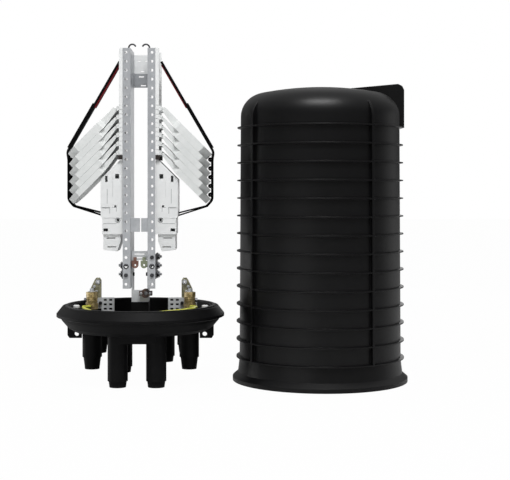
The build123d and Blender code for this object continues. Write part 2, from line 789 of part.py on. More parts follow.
# Cable clamps: a perforated anchor plate on the floor, a brass barrel on its arm and a taller clamp behind
brass_stages = [(clamp_low_z, 12, 12.5, 6), (clamp_low_z + 12, 12, 9.2, 8), (clamp_low_z + 24, 10, 11.5, 6)]
for name, side in sides.items():
    plate_outline = [
        (54, floor_z),
        (80, floor_z),
        (80, 140),
        (112, 140),
        (112, 158),
        (80, 162),
        (54, 162),
    ]
    with BuildPart() as anchor_plate:
        with BuildSketch(upright(base_x, clamp_y)):
            with BuildLine():
                Polyline(*mirrored(plate_outline, side), close=True)
            make_face()
            with Locations((side * 67, 148)):
                with GridLocations(11, 9, 2, 3):
                    Rectangle(6, 4, mode=Mode.SUBTRACT)
        extrude(amount=-bracket_sheet)
        with Locations((base_x + side * 67, clamp_y + bracket_sheet, floor_z)):
            Box(26, 14, bracket_sheet, align=(Align.CENTER, Align.MIN, Align.MIN))
    save(anchor_plate.part, f"{name}_anchor_plate")

    with BuildPart() as brass_clamp:
        for low_z, height, r, edges in brass_stages:
            with BuildSketch(Plane.XY.offset(low_z)):
                with Locations((base_x + side * clamp_x, clamp_y - 11.5)):
                    RegularPolygon(r, edges)
            extrude(amount=height)
    save(brass_clamp.part, f"{name}_brass_clamp")

    tall_outline = [
        (tall_in_x, clamp_low_z + 5),
        (tall_out_x, clamp_low_z + 5),
        (tall_out_x, tall_top_z - 23),
        (tall_out_x - 9, tall_top_z - 4),
        (tall_out_x - 12, tall_top_z),
        (tall_in_x + 3, tall_top_z),
        (tall_in_x, tall_top_z - 5),
    ]
    with BuildPart() as tall_clamp:
        with BuildSketch(upright(base_x, clamp_y + bracket_sheet + seat)):
            with BuildLine():
                Polyline(*mirrored(tall_outline, side), close=True)
            make_face()
            with Locations((side * (tall_in_x + 6), tall_top_z - 8)):
                RegularPolygon(3, 6, mode=Mode.SUBTRACT)
        extrude(amount=-10)
    save(tall_clamp.part, f"{name}_tall_clamp")

    with BuildPart() as clamp_bolt:
        with BuildSketch(upright(base_x, clamp_y - seat)):
            with Locations((side * 82, 151)):
                RegularPolygon(3.5, 6)
        extrude(amount=5)
        with BuildSketch(Plane.YZ.offset(base_x + side * (clamp_x + brass_stages[1][2] + seat))):
            with Locations((clamp_y - 11.5, brass_stages[1][0] + brass_stages[1][1] / 2)):
                RegularPolygon(screw_r, 6)
        extrude(amount=side * 6)
    save(clamp_bolt.part, f"{name}_clamp_bolt")

# Earth wires: from each brass clamp round the front of the bowl into the housing's post
routes = {
    "left": [(100, -11, 146), (112, -28, 147), (107, -56, 147), (88, -92, 145), (62, -112, 140), (34, -96, 126)],
    "right": [(100, -11, 146), (112, -28, 147), (107, -56, 147), (84, -98, 147), (50, -118, 146), (24, -112, 142)],
}
for name, side in sides.items():
    ends = [(wire_end_x, -70, wire_end_z), (wire_end_x, 3 - post_d / 2, wire_end_z)]
    with BuildPart() as wire:
        with BuildLine():
            path = FilletPolyline(*[(base_x + side * x, y, z) for x, y, z in routes[name] + ends], radius=8)
        with BuildSketch(Plane(path @ 0, z_dir=path % 0)):
            Circle(wire_r)
        sweep()
    save(wire.part, f"{name}_earth_wire")
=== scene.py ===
"""Looks of the opened fibre splice closure: finishes, straps, small hardware, light and camera.

Everything is in the row's own frame: +X from the base to the dome, +Y to the back, +Z up. Lengths are in
metres. Fields whose name ends in _mm and the outlines of turned pieces are in millimetres.
"""

import json
import logging
import math
from dataclasses import dataclass
from enum import Enum
from typing import Any, Sequence

import bmesh
import bpy
from mathutils import Matrix, Vector

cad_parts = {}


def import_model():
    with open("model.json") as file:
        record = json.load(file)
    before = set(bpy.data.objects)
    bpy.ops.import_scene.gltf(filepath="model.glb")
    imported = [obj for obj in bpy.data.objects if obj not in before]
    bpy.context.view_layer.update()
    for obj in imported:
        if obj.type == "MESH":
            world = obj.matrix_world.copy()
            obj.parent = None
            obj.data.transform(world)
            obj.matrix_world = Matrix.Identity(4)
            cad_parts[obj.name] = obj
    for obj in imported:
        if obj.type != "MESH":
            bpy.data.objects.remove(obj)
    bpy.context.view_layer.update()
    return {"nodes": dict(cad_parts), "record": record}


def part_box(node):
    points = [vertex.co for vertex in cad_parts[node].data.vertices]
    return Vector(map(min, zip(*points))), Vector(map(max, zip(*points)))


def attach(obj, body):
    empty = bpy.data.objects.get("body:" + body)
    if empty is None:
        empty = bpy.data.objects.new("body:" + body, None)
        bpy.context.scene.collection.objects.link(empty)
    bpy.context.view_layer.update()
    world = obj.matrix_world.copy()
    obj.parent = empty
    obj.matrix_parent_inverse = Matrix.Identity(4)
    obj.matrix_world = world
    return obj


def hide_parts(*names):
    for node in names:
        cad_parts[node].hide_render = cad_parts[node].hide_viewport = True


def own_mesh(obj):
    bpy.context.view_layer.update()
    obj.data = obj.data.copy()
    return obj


frame: dict[str, Any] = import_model()

log = logging.getLogger("splice_closure")

Outline = Sequence[tuple[float, float]]
Materials = dict[str, bpy.types.Material]

MM: float = 0.001
BASE_X: float = -0.1825
RAIL_PITCH: float = 17.5 * MM
TRAYS: int = 6
TURN_STEPS: int = 28
SMOOTH_DEG: float = 30.0

FRONT = Vector((0, -1, 0))
BACK = Vector((0, 1, 0))
UP = Vector((0, 0, 1))


class Side(Enum):
    """The two sides of the frame, with the sign of X that points outward."""

    LEFT = -1
    RIGHT = 1

    @property
    def word(self) -> str:
        """Name of the side as it stands in the node names."""
        return self.name.lower()

    def outer(self, node: str) -> float:
        """X of a node's side that faces outward."""
        low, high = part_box(node)
        return low.x if self is Side.LEFT else high.x

    def inner(self, node: str) -> float:
        """X of a node's side that faces the base's axis."""
        low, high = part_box(node)
        return high.x if self is Side.LEFT else low.x


class Grain(Enum):
    """Surface structure that a finish shows close up: its size in millimetres and its stretch."""

    MOULDED = (0.9, (1.0, 1.0, 1.0))
    BRUSHED = (0.6, (1.0, 1.0, 0.05))
    PLATED = (0.6, (1.0, 1.0, 1.0))

    @property
    def size_mm(self) -> float:
        """Size of one feature."""
        return self.value[0]

    @property
    def stretch(self) -> tuple[float, float, float]:
        """Factor on the pattern's frequency along each axis."""
        return self.value[1]


def linear(hex_colour: str) -> tuple[float, float, float, float]:
    """Turns an sRGB hex colour into the linear one that shaders take.

    Args:
        hex_colour: Colour such as "#c8ccd0".

    Returns:
        Linear red, green, blue and full alpha.
    """
    channels = [int(hex_colour[i : i + 2], 16) / 255 for i in (1, 3, 5)]
    values = [c / 12.92 if c <= 0.04045 else ((c + 0.055) / 1.055) ** 2.4 for c in channels]
    return values[0], values[1], values[2], 1.0


class Nodes:
    """A node tree that nodes are added to."""

    def __init__(self, tree: bpy.types.NodeTree) -> None:
        """Takes the tree to work on."""
        self.tree = tree

    def add(self, kind: str, inputs: dict[str | int, Any] | None = None, **settings: Any) -> Any:
        """Adds a node, with its settings and its input values or links.

        Args:
            kind: Blender's name of the node type.
            inputs: Values or output sockets for the node's inputs, by name or number.
            **settings: Attributes of the node.

        Returns:
            The new node.
        """
        node = self.tree.nodes.new(kind)
        for key, value in settings.items():
            setattr(node, key, value)
        for key, value in (inputs or {}).items():
            self.feed(node.inputs[key], value)
        return node

    def feed(self, socket: Any, value: Any) -> None:
        """Links an output into a socket, or sets the socket's own value.

        Args:
            socket: Input socket.
            value: Output socket or plain value.
        """
        if isinstance(value, bpy.types.NodeSocket):
            self.tree.links.new(value, socket)
        else:
            socket.default_value = value


class Shader(Nodes):
    """One node material under construction."""

    noise_span: tuple[float, float] = (0.25, 0.75)
    bump_strength: float = 0.6
    edge_samples: int = 4

    def __init__(self, name: str) -> None:
        """Starts a material with a Principled shader.

        Args:
            name: Name of the material.
        """
        self.material = bpy.data.materials.new(name)
        self.material.use_nodes = True
        super().__init__(self.material.node_tree)
        self.surface = self.tree.nodes["Principled BSDF"]
        self.coords = self.add("ShaderNodeTexCoord").outputs["Object"]

    def dress(self, **values: Any) -> None:
        """Feeds the Principled shader's inputs.

        Args:
            **values: Values or output sockets by input name, with an underscore for each space.
        """
        for key, value in values.items():
            self.feed(self.surface.inputs[key.replace("_", " ")], value)

    def noise(self, size_mm: float, detail: float = 3.0, stretch: Sequence[float] = (1, 1, 1)) -> Any:
        """Noise whose features are about so many millimetres across.

        Args:
            size_mm: Size of one feature.
            detail: Noise detail.
            stretch: Factor on the pattern's frequency along each axis.

        Returns:
            The noise value's output socket.
        """
        mapped = self.add("ShaderNodeMapping", {"Vector": self.coords, "Scale": tuple(stretch)})
        inputs = {"Vector": mapped.outputs[0], "Scale": 1 / (size_mm * MM), "Detail": detail}
        return self.add("ShaderNodeTexNoise", inputs).outputs[0]

    def span(self, value: Any, source: tuple[float, float], target: tuple[float, float]) -> Any:
        """Maps a value from one range to another.

        Args:
            value: Output socket with the value.
            source: Range that the value comes from.
            target: Range that it goes to.

        Returns:
            The output socket.
        """
        inputs = dict(zip(("From Min", "From Max", "To Min", "To Max"), source + target))
        return self.add("ShaderNodeMapRange", {"Value": value, **inputs}).outputs[0]

    def ramp(self, value: Any, low: float, high: float) -> Any:
        """Spreads a noise value over a range and returns the output socket."""
        return self.span(value, self.noise_span, (low, high))

    def mix(self, share: Any, first: Any, second: Any) -> Any:
        """Mixes two colours.

        Args:
            share: Share of the second colour.
            first: First colour.
            second: Second colour.

        Returns:
            The colour's output socket.
        """
        node = self.add("ShaderNodeMix", {0: share}, data_type="RGBA")
        self.feed(node.inputs[6], first)
        self.feed(node.inputs[7], second)
        return node.outputs[2]

    def bump(self, height: Any, depth_mm: float, edge_mm: float = 0.0) -> None:
        """Gives the surface a relief, on edges rounded by a small bevel.

        Args:
            height: Output socket with the relief's height.
            depth_mm: Depth of the relief.
            edge_mm: Radius of the rounded edges, or 0 for none.
        """
        inputs = {"Height": height, "Distance": depth_mm * MM, "Strength": self.bump_strength}
        if edge_mm:
            edge = self.add("ShaderNodeBevel", {"Radius": edge_mm * MM}, samples=self.edge_samples)
            inputs["Normal"] = edge.outputs[0]
        self.dress(Normal=self.add("ShaderNodeBump", inputs).outputs[0])


@dataclass(frozen=True)
class Finish:
    """A plain finish: two close colours, a roughness range and a grain."""

    name: str
    colour: str
    second: str
    rough: tuple[float, float]
    metallic: float = 0.0
    grain: Grain = Grain.MOULDED
    patch_mm: float = 14.0
    relief_mm: float = 0.04
    edge_mm: float = 0.4
    specular: float = 0.5
    fine_detail: float = 4.0
    spangle_mm: float = 5.0
    spangle_share: float = 0.35

    def build(self) -> bpy.types.Material:
        """Builds the material.

        Returns:
            The finished material.
        """
        shader = Shader(self.name)
        patches = shader.noise(self.patch_mm)
        fine = shader.noise(self.grain.size_mm, self.fine_detail, self.grain.stretch)
        colour = shader.mix(shader.ramp(patches, 0.0, 1.0), linear(self.colour), linear(self.second))
        if self.grain is Grain.PLATED:
            inputs = {"Vector": shader.coords, "Scale": 1 / (self.spangle_mm * MM)}
            spangle = shader.add("ShaderNodeTexVoronoi", inputs).outputs["Color"]
            grey = shader.add("ShaderNodeRGBToBW", {"Color": spangle}).outputs[0]
            colour = shader.mix(shader.ramp(grey, 0.0, self.spangle_share), colour, linear(self.second))
        shader.dress(Base_Color=colour, Roughness=shader.ramp(fine, *self.rough), Metallic=self.metallic)
        shader.dress(Specular_IOR_Level=self.specular)
        shader.bump(fine, self.relief_mm, self.edge_mm)
        return shader.material


@dataclass(frozen=True)
class WovenFinish:
    """A woven strap: fine cross ribs in the weave and a soft nap."""

    name: str
    colour: str
    second: str
    thread_mm: float = 1.1
    waves_per_thread: float = 0.31
    wobble: float = 0.4
    nap_mm: float = 0.5
    rough: tuple[float, float] = (0.7, 0.95)
    specular: float = 0.1
    relief_mm: float = 0.25

    def build(self) -> bpy.types.Material:
        """Builds the material.

        Returns:
            The finished material.
        """
        shader = Shader(self.name)
        scale = self.waves_per_thread / (self.thread_mm * MM)
        inputs = {"Vector": shader.coords, "Scale": scale, "Distortion": self.wobble}
        weft, warp = (
            shader.add("ShaderNodeTexWave", inputs, bands_direction=axis).outputs[1] for axis in ("Z", "Y")
        )
        weave = shader.add("ShaderNodeMath", {0: weft, 1: warp}, operation="MULTIPLY").outputs[0]
        nap = shader.noise(self.nap_mm)
        colour = shader.mix(shader.ramp(nap, 0.0, 1.0), linear(self.colour), linear(self.second))
        shader.dress(Base_Color=colour, Roughness=shader.ramp(nap, *self.rough))
        shader.dress(Specular_IOR_Level=self.specular)
        shader.bump(weave, self.relief_mm)
        return shader.material


@dataclass(frozen=True)
class StripedInsulation:
    """Yellow wire insulation that turns green where its surface faces down: this stands for the wire's green
    stripe and is also painted shade on its underside.
    """

    name: str
    colour: str
    stripe: str
    stripe_slope: tuple[float, float] = (-0.35, -0.2)
    fine_mm: float = 1.5
    rough: tuple[float, float] = (0.32, 0.45)
    relief_mm: float = 0.03

    def build(self) -> bpy.types.Material:
        """Builds the material.

        Returns:
            The finished material.
        """
        shader = Shader(self.name)
        normal = shader.add("ShaderNodeNewGeometry").outputs["Normal"]
        height = shader.add("ShaderNodeSeparateXYZ", {0: normal}).outputs[2]
        # Painted shade: the share of green grows as the surface faces further down, whichever way the wire
        # runs.
        share = shader.span(height, self.stripe_slope, (1.0, 0.0))
        fine = shader.noise(self.fine_mm)
        shader.dress(Base_Color=shader.mix(share, linear(self.colour), linear(self.stripe)))
        shader.dress(Roughness=shader.ramp(fine, *self.rough))
        shader.bump(fine, self.relief_mm)
        return shader.material


AnyFinish = Finish | WovenFinish | StripedInsulation

FINISHES: dict[str, AnyFinish] = {
    "black_moulding": Finish(
        "black_pp_moulding", "#060607", "#09090a", (0.34, 0.42), edge_mm=0.8, specular=0.25
    ),
    "seal_rubber": Finish("black_epdm_seal", "#0c0c0d", "#131314", (0.45, 0.6)),
    "white_plastic": Finish("white_abs_moulding", "#e4e6e6", "#eceded", (0.36, 0.48)),
    "tray_plastic": Finish("light_grey_abs_tray", "#d9dcdb", "#e4e6e5", (0.34, 0.46)),
    "zinc_steel": Finish(
        "zinc_plated_sheet", "#c6c8cb", "#b0b3b7", (0.3, 0.42), 0.35, Grain.PLATED, edge_mm=0.2
    ),
    "dark_steel": Finish(
        "darkened_steel", "#3c3c3f", "#57575a", (0.3, 0.45), 1.0, Grain.BRUSHED, edge_mm=0.3
    ),
    "copper": Finish("copper_lug", "#70493d", "#99796d", (0.28, 0.4), 0.5, Grain.BRUSHED),
    "green_zinc": Finish("green_passivated_zinc", "#7a8368", "#a2a890", (0.3, 0.42), 0.5, Grain.BRUSHED),
    "olive_zinc": Finish("olive_passivated_zinc", "#5c5b46", "#aaa68a", (0.3, 0.45), 0.4, Grain.BRUSHED, 6.0),
    "brass": Finish("turned_brass", "#7d6a3e", "#dcc690", (0.24, 0.36), 0.6, Grain.BRUSHED, 5.0),
    "dark_plastic": Finish("dark_clamp_nylon", "#1c1715", "#2a221f", (0.35, 0.5)),
    "strap_fabric": WovenFinish("woven_loop_strap", "#020202", "#060606"),
    # The earth wire's green underside is partly its stripe and partly painted shade.
    "earth_wire": StripedInsulation("yellow_green_pvc_shaded_underside", "#c8c94e", "#6b8a3c"),
}

SCENE_FINISHES: dict[str, AnyFinish] = {
    "strap_lining": WovenFinish("red_strap_lining", "#5a1016", "#6e171d"),
    # Grey of the carrier seams: painted shade of the grooves round the carriers' lids and latches.
    "painted_seam_shade": Finish("painted_seam_shade_abs", "#8d9091", "#a5a8a8", (0.5, 0.6)),
}

PALE_ZINC = Finish(
    "pale_zinc_plated_plate", "#dfe1e3", "#c6c9cc", (0.3, 0.42), 0.2, Grain.PLATED, edge_mm=0.2
)
OWN_FINISHES: dict[str, AnyFinish] = {
    "foot_bracket": PALE_ZINC,
    "bottom_clamp": Finish("brown_black_clamp_nylon", "#191413", "#6a5147", (0.35, 0.5), patch_mm=7.0),
    "left_anchor_plate": PALE_ZINC,
    "right_anchor_plate": PALE_ZINC,
    "base_housing": Finish(
        "black_pp_base_moulding", "#0a0a0b", "#0f0f10", (0.5, 0.6), edge_mm=0.8, specular=0.12
    ),
}


def add_mesh(name: str, shape: bmesh.types.BMesh, material: bpy.types.Material) -> Any:
    """Turns a bmesh into an object with smooth faces and sharp corners.

    Args:
        name: Name of the object.
        shape: The bmesh, in the row's frame. It is freed.
        material: Material of the whole piece.

    Returns:
        The new object.
    """
    bmesh.ops.recalc_face_normals(shape, faces=shape.faces)
    mesh = bpy.data.meshes.new(name)
    shape.to_mesh(mesh)
    shape.free()
    mesh.materials.append(material)
    mesh.shade_smooth()
    mesh.set_sharp_from_angle(angle=math.radians(SMOOTH_DEG))
    piece = bpy.data.objects.new(name, mesh)
    bpy.context.scene.collection.objects.link(piece)
    return piece


def add_fixed(name: str, shape: bmesh.types.BMesh, material: bpy.types.Material) -> Any:
    """Adds a piece that stays with the closure's root body.

    Args:
        name: Name of the object.
        shape: The bmesh, in the row's frame. It is freed.
        material: Material of the whole piece.

    Returns:
        The new object.
    """
    piece = add_mesh(name, shape, material)
    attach(piece, "closure")
    return piece


def ring(inner: float, outer: float, low: float, high: float) -> Outline:
    """Outline of a plain ring between two radii and two heights, in millimetres."""
    return [(inner, low), (outer, low), (outer, high), (inner, high)]


def lathe(shape: bmesh.types.BMesh, outline: Outline, centre: Vector, axis: Vector) -> None:
    """Turns a closed outline into a ring.

    Args:
        shape: Mesh that takes the ring.
        outline: Points as distance from the axis and place along it, in millimetres.
        centre: Place of the outline's zero point.
        axis: Direction of the axis.
    """
    across = axis.orthogonal().normalized()
    corners = [shape.verts.new(centre + across * r * MM + axis * h * MM) for r, h in outline]
    edges = [shape.edges.new(pair) for pair in zip(corners, corners[1:] + corners[:1])]
    turn = {"cent": centre, "axis": axis, "angle": 2 * math.pi, "steps": TURN_STEPS, "use_merge": True}
    bmesh.ops.spin(shape, geom=corners + edges, **turn)


def sweep(shape: bmesh.types.BMesh, profile: Outline, route: Sequence[Vector], hand: int = 1) -> None:
    """Carries a closed profile along a route in the X-Z plane, extruding it from point to point.

    Args:
        shape: Mesh that takes the swept piece.
        profile: Corners as distance across the route and distance to the back, in metres.
        route: Middle line.
        hand: 1 or -1, the side of the route that the profile's first distance points to.
    """
    places = []
    for index, point in enumerate(route):
        along = (route[min(index + 1, len(route) - 1)] - route[max(index - 1, 0)]).normalized()
        turned = Matrix((along.cross(BACK) * hand, BACK, along)).transposed().to_4x4()
        places.append(Matrix.Translation(point) @ turned)
    face = shape.faces.new([shape.verts.new(places[0] @ Vector((*corner, 0))) for corner in profile])
    for before, after in zip(places, places[1:]):
        grown = bmesh.ops.extrude_face_region(shape, geom=[face, *face.edges])["geom"]
        corners = [item for item in grown if isinstance(item, bmesh.types.BMVert)]
        face = next(item for item in grown if isinstance(item, bmesh.types.BMFace))
        bmesh.ops.transform(shape, matrix=after @ before.inverted(), verts=corners)


@dataclass
class Strap:
    """Hook-and-loop strap of one side: black outside, with a dark red layer inside its upper run."""

    side: Side
    width: float = 20 * MM
    thickness: float = 5.0 * MM
    bend: float = 6 * MM
    bend_share: float = 0.45
    bend_steps: int = 6
    rounding: float = 0.4 * MM
    tip_rises: tuple[float, float] = (11.0 * MM, 8.6 * MM)
    offsets_mm: Outline = ((2.2, -7.6), (3.8, 4.0), (3.5, -9.8), (3.5, -1.9), (-7.6, -14.1))
    band: float = 2.8 * MM
    band_heights: tuple[float, float] = (1.0 * MM, 6.2 * MM)
    band_overlap: float = 2 * MM
    band_closing: float = 4
    band_gap: float = 0.4 * MM
    doubled: float = 2.4 * MM
    doubled_run: tuple[float, float] = (0.47, 0.96)
    lining: float = 1.8 * MM
    lining_run: tuple[float, float] = (0.03, 0.5)
    fold_mm: tuple[float, float] = (0.4, 4.5)
    fold_inset: float = 0.3 * MM
    folded_up: float = 0.04

    def __post_init__(self) -> None:
        """Reads the route's corners from the pieces that the strap goes round."""
        word = self.side.word
        tips = [f"{word}_tray_{number}" for number in (1, TRAYS)]
        first_x, last_x = (self.reach(self.side.outer(tip)) for tip in tips)
        first_z, last_z = (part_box(tip)[0].z + rise for tip, rise in zip(tips, self.tip_rises))
        low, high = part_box(f"{word}_strap")
        self.top_z = high.z
        marks = [
            (self.reach(self.side.inner(f"{word}_strap")), high.z),
            (first_x, first_z),
            (last_x, first_z),
            (last_x, last_z),
            (last_x, last_z),
        ]
        self.corners = [(x + out * MM, z + up * MM) for (x, z), (out, up) in zip(marks, self.offsets_mm)]
        self.band_ends = [low.z + height for height in self.band_heights]
        rows = range(TRAYS - 1)
        self.folds = [(last_x - self.fold_inset, last_z + RAIL_PITCH * (row + 0.5)) for row in rows]

    def reach(self, x: float) -> float:
        """Distance of a place from the base's axis."""
        return abs(x - BASE_X)

    def place(self, x: float, z: float) -> Vector:
        """Point at a distance from the base's axis and a height, in the row's frame."""
        return Vector((BASE_X + self.side.value * x, 0, z))

    def ribbon(
        self, shape: bmesh.types.BMesh, route: Sequence[Vector], thickness: float, shift: float = 0.0
    ) -> None:
        """Adds a flat ribbon along a route in the X-Z plane.

        Args:
            shape: Mesh that takes the ribbon.
            route: The route.
            thickness: Thickness of the ribbon.
            shift: Distance of the ribbon's middle from the route, outward.
        """
        low, high, half = shift - thickness / 2, shift + thickness / 2, self.width / 2
        sweep(shape, [(low, -half), (low, half), (high, half), (high, -half)], route, self.side.value)

    def upper_run(self, run: tuple[float, float]) -> list[Vector]:
        """Part of the straight upper run, between two shares of its length from the top."""
        top, low = self.place(*self.corners[0]), self.place(*self.corners[1])
        return [top.lerp(low, share) for share in run]

    def rounded(self) -> list[Vector]:
        """Rounds the corners of the route with short quadratic bends.

        Returns:
            The rounded route in the row's frame.
        """
        places = [self.place(*corner) for corner in self.corners]
        smooth = [places[0]]
        for before, corner, after in zip(places, places[1:], places[2:]):
            shorter = min((corner - before).length, (after - corner).length)
            reach = min(shorter * self.bend_share, self.bend)
            start = corner + (before - corner).normalized() * reach
            end = corner + (after - corner).normalized() * reach
            shares = [step / self.bend_steps for step in range(self.bend_steps + 1)]
            smooth += [start * (1 - s) ** 2 + corner * 2 * s * (1 - s) + end * s**2 for s in shares]
        smooth.append(places[-1])
        return smooth

    def web(self) -> bmesh.types.BMesh:
        """Shapes the black strap: the run, the two lower bands, the doubled part and the folds.

        Returns:
            The mesh of the strap.
        """
        shape = bmesh.new()
        self.ribbon(shape, self.rounded(), self.thickness)
        join_x, join_z = self.corners[-1]
        end_x = self.reach(self.side.outer(f"{self.side.word}_carrier")) + self.band_gap
        for height in self.band_ends:
            rise = (height - self.band_ends[0]) / self.band_closing
            start = self.place(join_x + self.band_overlap, join_z + rise)
            self.ribbon(shape, [start, self.place(end_x, height)], self.band)
        shift = (self.thickness + self.doubled) / 2
        self.ribbon(shape, self.upper_run(self.doubled_run), self.doubled, shift)
        bmesh.ops.bevel(
            shape,
            geom=shape.edges,
            offset=self.rounding,
            segments=1,
            affect="EDGES",
            profile=0.5,
            material=-1,
        )
        half = self.width / MM / 2
        for fold in self.folds:
            lathe(shape, ring(*self.fold_mm, -half, half), self.place(*fold), BACK)
        return shape

    def build(self, materials: Materials) -> list[Any]:
        """Builds the strap in place of its CAD node.

        Args:
            materials: Materials by slot.

        Returns:
            The strap and its inner layer.
        """
        word = self.side.word
        strap = add_fixed(f"{word}_strap_web", self.web(), materials["strap_fabric"])
        shape = bmesh.new()
        shift = -self.thickness / 2 - self.lining / 2
        self.ribbon(shape, self.upper_run(self.lining_run), self.lining, shift)
        lining = add_fixed(f"{word}_strap_lining", shape, materials["strap_lining"])
        for piece in (strap, lining):
            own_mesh(piece)
        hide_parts(f"{word}_strap")
        return [strap, lining]


@dataclass
class SpringHooks:
    """Two round-wire hooks at the rails' upper ends."""

    wire: float = 1.6 * MM
    wire_sides: int = 10
    loop_share: float = 0.32
    loop_deg: range = range(-20, 171, 15)
    foot_rise: float = 1 * MM

    def build(self, materials: Materials) -> list[Any]:
        """Builds both hooks in place of their CAD node.

        Args:
            materials: Materials by slot.

        Returns:
            The one piece of both hooks.
        """
        low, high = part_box("spring_hooks")
        middle = (low + high) / 2
        half = (high.x - low.x) / 2
        radius = half * self.loop_share
        centre = (half - radius - self.wire, high.z - radius - self.wire)
        bends = [math.radians(angle) for angle in self.loop_deg]
        loop = [(centre[0] + math.cos(a) * radius, centre[1] + math.sin(a) * radius) for a in bends]
        foot = (half - self.wire, low.z + self.foot_rise)
        turns = [2 * math.pi * i / self.wire_sides for i in range(self.wire_sides)]
        profile = [(math.cos(a) * self.wire, math.sin(a) * self.wire) for a in turns]
        shape = bmesh.new()
        for side in Side:
            route = [Vector((middle.x + side.value * x, middle.y, z)) for x, z in [foot] + loop]
            sweep(shape, profile, route)
        hooks = add_fixed("spring_hook_wires", shape, materials["dark_steel"])
        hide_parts("spring_hooks")
        return [hooks]


@dataclass
class BoltHardware:
    """Washers, thread ends and toothed nut flanges of the bolt stacks beside the rails."""

    left_rows: int = 2
    right_rows: int = 3
    bolt_r: float = 2.4
    washer_r: float = 5.9
    washer_t: float = 0.8
    washer_depth: float = 2.2 * MM
    thread_core: float = 0.4
    thread_ends: tuple[float, float] = (-2.0, 2.6)
    thread_start: float = -1.4
    thread_pitch: float = 0.8
    crests: int = 5
    crest: float = 0.45
    root: float = 0.1
    flange_core: float = 5.6
    flange_t: float = 1.2
    flange_edge: float = 0.2
    flange_rows: Outline = ((6.6, 8.3), (4.4, 7.6))

    def spots(self, side: Side) -> list[Vector]:
        """Finds the middles of a side's outer bolt ends from the box of its nut stacks.

        Args:
            side: Side of the frame.

        Returns:
            The middles, from the lowest up.
        """
        low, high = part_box(f"{side.word}_rail_bolts")
        rows = self.left_rows if side is Side.LEFT else self.right_rows
        nut = (high.z - low.z - (rows - 1) * RAIL_PITCH) / 2
        outer = side.outer(f"{side.word}_rail_bolts")
        return [Vector((outer, (low.y + high.y) / 2, low.z + nut + row * RAIL_PITCH)) for row in range(rows)]

    def thread(self) -> Outline:
        """Draws a thread end, with its crests from the outermost inward.

        Returns:
            The closed outline to turn.
        """
        outline = [(self.thread_core, end) for end in self.thread_ends]
        for crest in reversed(range(self.crests)):
            height = self.thread_start + crest * self.thread_pitch
            outline.append((self.bolt_r + self.crest, height))
            outline.append((self.bolt_r - self.root, height - self.thread_pitch / 2))
        return outline

    def washers(self, plated: bpy.types.Material) -> Any:
        """Builds the light washers and thread ends.

        Args:
            plated: Finish of the washers.

        Returns:
            The one piece of both sides.
        """
        shape = bmesh.new()
        washer = ring(self.bolt_r, self.washer_r, 0, self.washer_t)
        for side in Side:
            axis = Vector((side.value, 0, 0))
            for spot in self.spots(side):
                lathe(shape, washer, spot - axis * self.washer_depth, axis)
                lathe(shape, self.thread(), spot, axis)
        return add_fixed("rail_bolt_washers", shape, plated)

    def flanges(self, dark: bpy.types.Material) -> Any:
        """Builds the dark toothed flanges round the outer nuts, two to a nut.

        Args:
            dark: Finish of the flanges.

        Returns:
            The one piece of both sides.
        """
        shape = bmesh.new()
        core, edge, top = self.flange_core, self.flange_edge, self.flange_t
        for side in Side:
            axis = Vector((side.value, 0, 0))
            for spot in self.spots(side):
                for depth, r in self.flange_rows:
                    outline = [(core, 0), (r, edge), (r, top - edge), (core, top)]
                    lathe(shape, outline, spot - axis * depth * MM, axis)
        return add_fixed("rail_nut_flanges", shape, dark)

    def build(self, materials: Materials) -> list[Any]:
        """Builds the washers and the flanges."""
        return [self.washers(materials["zinc_steel"]), self.flanges(materials["dark_steel"])]


